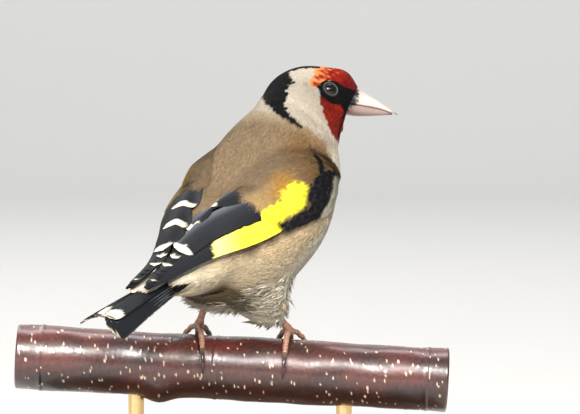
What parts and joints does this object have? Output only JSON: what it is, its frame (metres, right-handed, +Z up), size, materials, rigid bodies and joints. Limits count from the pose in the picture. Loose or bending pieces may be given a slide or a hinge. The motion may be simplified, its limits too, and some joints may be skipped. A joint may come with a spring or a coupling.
{
  "type": "european goldfinch",
  "caption": "Life-size european goldfinch looking over its shoulder, gripping a cut length of branch on a round display stand with brass rods.",
  "frame": {"origin": "centre of the flat underside of the round stand base, on the surface that it stands on", "axes": "+Z up; the branch runs along X, sloping down 3.2 degrees towards +X; the bird stands across it with its back to -Y and its bill pointing to +X"},
  "size_m": [0.1088, 0.106, 0.1121],
  "materials": {
    "plumage_cream": "cream, buff and white contour feathers with a red, black and white head",
    "plumage_brown": "warm brown feathers of neck and back",
    "plumage_black": "glossy black flight feathers with a yellow band and white tips",
    "bill_horn": "pale pinkish horn, darker tip",
    "claw_horn": "dark horn",
    "leg_scales": "pinkish brown scales",
    "eye": "very dark brown, wet gloss",
    "bark": "smooth glossy red-brown bark with pale pores",
    "stand_wood": "dark stained and oiled wood",
    "stand_brass": "satin brass rod"
  },
  "bodies": {
    "root": {"bill_lower": "bill_horn", "bill_upper": "bill_horn", "claw_left_hind": "claw_horn", "claw_left_inner": "claw_horn", "claw_left_middle": "claw_horn", "claw_left_outer": "claw_horn", "claw_right_hind": "claw_horn", "claw_right_inner": "claw_horn", "claw_right_middle": "claw_horn", "claw_right_outer": "claw_horn", "eye_left": "eye", "eye_right": "eye", "head": "plumage_cream", "leg_left": "leg_scales", "leg_right": "leg_scales", "neck": "plumage_brown", "perch": "bark", "stand_base": "stand_wood", "stand_rod_left": "stand_brass", "stand_rod_right": "stand_brass", "tail_left": "plumage_black", "tail_right": "plumage_black", "toe_left_hind": "leg_scales", "toe_left_inner": "leg_scales", "toe_left_middle": "leg_scales", "toe_left_outer": "leg_scales", "toe_right_hind": "leg_scales", "toe_right_inner": "leg_scales", "toe_right_middle": "leg_scales", "toe_right_outer": "leg_scales", "trunk": "plumage_cream", "undertail_coverts": "plumage_cream", "uppertail_coverts": "plumage_cream", "wing_left_coverts": "plumage_black", "wing_left_primaries": "plumage_black", "wing_left_secondaries": "plumage_black", "wing_right_coverts": "plumage_black", "wing_right_primaries": "plumage_black", "wing_right_secondaries": "plumage_black"}
  },
  "joints": []
}
